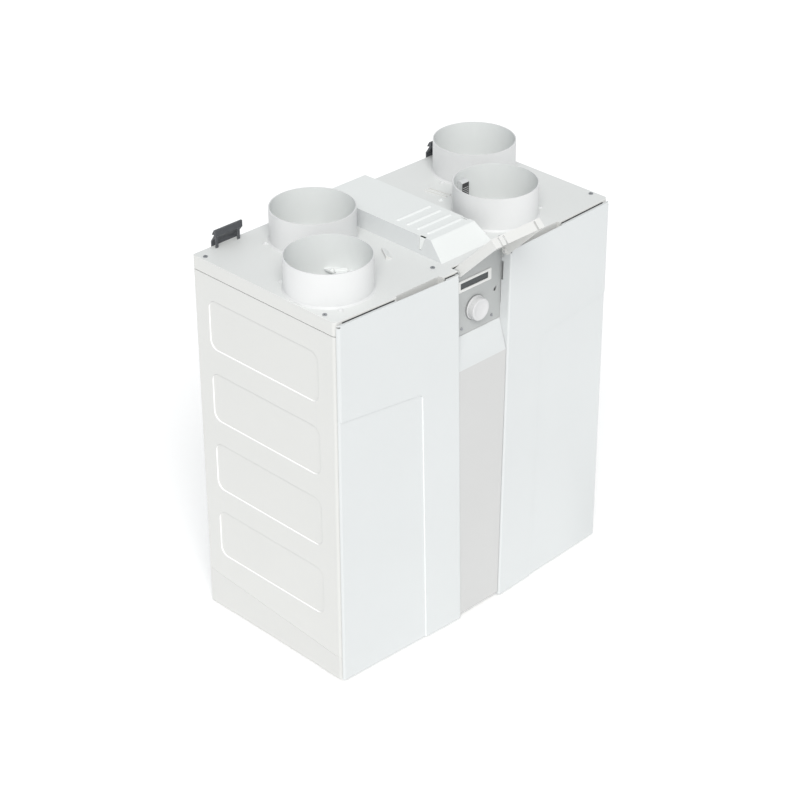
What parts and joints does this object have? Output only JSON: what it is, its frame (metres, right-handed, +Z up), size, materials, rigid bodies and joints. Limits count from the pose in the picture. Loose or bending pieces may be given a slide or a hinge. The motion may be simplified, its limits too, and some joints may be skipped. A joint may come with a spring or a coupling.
{
  "type": "heat recovery ventilation unit",
  "caption": "Wall-hung heat recovery ventilation unit with round duct spigots on top, hinged front doors and a flap over its control panel.",
  "frame": {"origin": "middle of the casing's plan, on the surface that the feet stand on", "axes": "+Z up, the doors and the control panel face -Y, +X to the right seen from the front"},
  "size_m": [0.705, 0.4742, 0.8443],
  "materials": {
    "white_enamel": "satin",
    "back_zinc": "satin",
    "base_plastic": "satin",
    "door_white": "satin",
    "cover_white": "satin",
    "column_grey": "satin",
    "fascia_grey": "satin",
    "flap_white": "satin",
    "knob_white": "satin",
    "lcd_glass": "gloss",
    "board_green": "satin",
    "black_plastic": "matte",
    "wheel_plastic": "satin",
    "pin_steel": "satin",
    "magnet_dark": "matte",
    "spigot_white": "satin",
    "hook_grey": "satin",
    "foam_grey": "matte",
    "core_plastic": "satin",
    "seal_rubber": "matte",
    "motor_aluminium": "satin",
    "filter_fleece": "matte",
    "filter_cover_grey": "satin",
    "sensor_grey": "satin",
    "screw_steel": "satin"
  },
  "bodies": {
    "casing": {"base_tray": "base_plastic", "base_feet": "base_plastic", "back_panel": "back_zinc", "left_side_panel": "white_enamel", "right_side_panel": "white_enamel", "top_cap": "white_enamel", "electronics_cover": "cover_white", "centre_cover": "column_grey", "control_fascia": "fascia_grey", "display_bezel": "fascia_grey", "display_lens": "lcd_glass", "display_module": "board_green", "rotary_encoder": "black_plastic", "flap_hinge_pins": "pin_steel", "door_hinge_pins": "pin_steel", "door_magnets": "magnet_dark", "supply_spigot": "spigot_white", "extract_spigot": "spigot_white", "outdoor_air_spigot": "spigot_white", "exhaust_spigot": "spigot_white", "left_wall_hook": "hook_grey", "right_wall_hook": "hook_grey", "foam_base": "foam_grey", "foam_top": "foam_grey", "foam_front_wall": "foam_grey", "foam_back_wall": "foam_grey", "foam_left_wall": "foam_grey", "foam_right_wall": "foam_grey", "foam_left_divider": "foam_grey", "foam_right_divider": "foam_grey", "condensate_basin": "black_plastic", "condensate_drain": "black_plastic", "exchanger_core": "core_plastic", "exchanger_end_frames": "black_plastic", "exchanger_seals": "seal_rubber", "supply_fan_scroll": "black_plastic", "supply_fan_motor": "motor_aluminium", "exhaust_fan_scroll": "black_plastic", "exhaust_fan_motor": "motor_aluminium", "extract_filter": "filter_fleece", "supply_filter": "filter_fleece", "filter_guides": "black_plastic", "filter_covers": "filter_cover_grey", "bypass_frame": "black_plastic", "bypass_actuator": "black_plastic", "board_tray": "black_plastic", "control_board": "board_green", "cable_gland": "black_plastic", "duct_sensor": "sensor_grey", "cap_screws": "screw_steel", "fascia_screws": "screw_steel"},
    "left_door": {"left_door": "door_white"},
    "right_door": {"right_door": "door_white"},
    "control_flap": {"control_flap": "flap_white"},
    "knob_plunger": {"encoder_plunger": "pin_steel"},
    "knob": {"control_knob": "knob_white", "encoder_shaft": "pin_steel"},
    "supply_wheel": {"supply_fan_wheel": "wheel_plastic"},
    "exhaust_wheel": {"exhaust_fan_wheel": "wheel_plastic"},
    "bypass_blade": {"bypass_blade": "pin_steel"}
  },
  "joints": [
    {"name": "left_door_tilt", "type": "hinge", "parent": "casing", "child": "left_door", "pos_m": [-0.165, -0.1889, 0.007], "axis": [1, 0, 0], "range_deg": [0, 15]},
    {"name": "right_door_tilt", "type": "hinge", "parent": "casing", "child": "right_door", "pos_m": [0.165, -0.1889, 0.007], "axis": [1, 0, 0], "range_deg": [0, 15]},
    {"name": "flap_hinge", "type": "hinge", "parent": "casing", "child": "control_flap", "pos_m": [0, -0.1948, 0.7521], "axis": [1, 0, 0], "range_deg": [0, 135]},
    {"name": "knob_press", "type": "slide", "parent": "casing", "child": "knob_plunger", "axis": [0, 1, 0], "range_m": [0, 0.001], "stiffness_N_per_m": 1500, "springref_m": -0.001},
    {"name": "knob_turn", "type": "hinge", "parent": "knob_plunger", "child": "knob", "pos_m": [-0.003, -0.1855, 0.6565], "axis": [0, 1, 0], "continuous": true},
    {"name": "supply_wheel_spin", "type": "hinge", "parent": "casing", "child": "supply_wheel", "pos_m": [-0.235, -0.081, 0.17], "axis": [0, 1, 0], "continuous": true},
    {"name": "exhaust_wheel_spin", "type": "hinge", "parent": "casing", "child": "exhaust_wheel", "pos_m": [0.235, 0.081, 0.17], "axis": [0, -1, 0], "continuous": true},
    {"name": "bypass_turn", "type": "hinge", "parent": "casing", "child": "bypass_blade", "pos_m": [-0.072, -0.1285, 0.56], "axis": [1, 0, 0], "range_deg": [0, 90]}
  ]
}
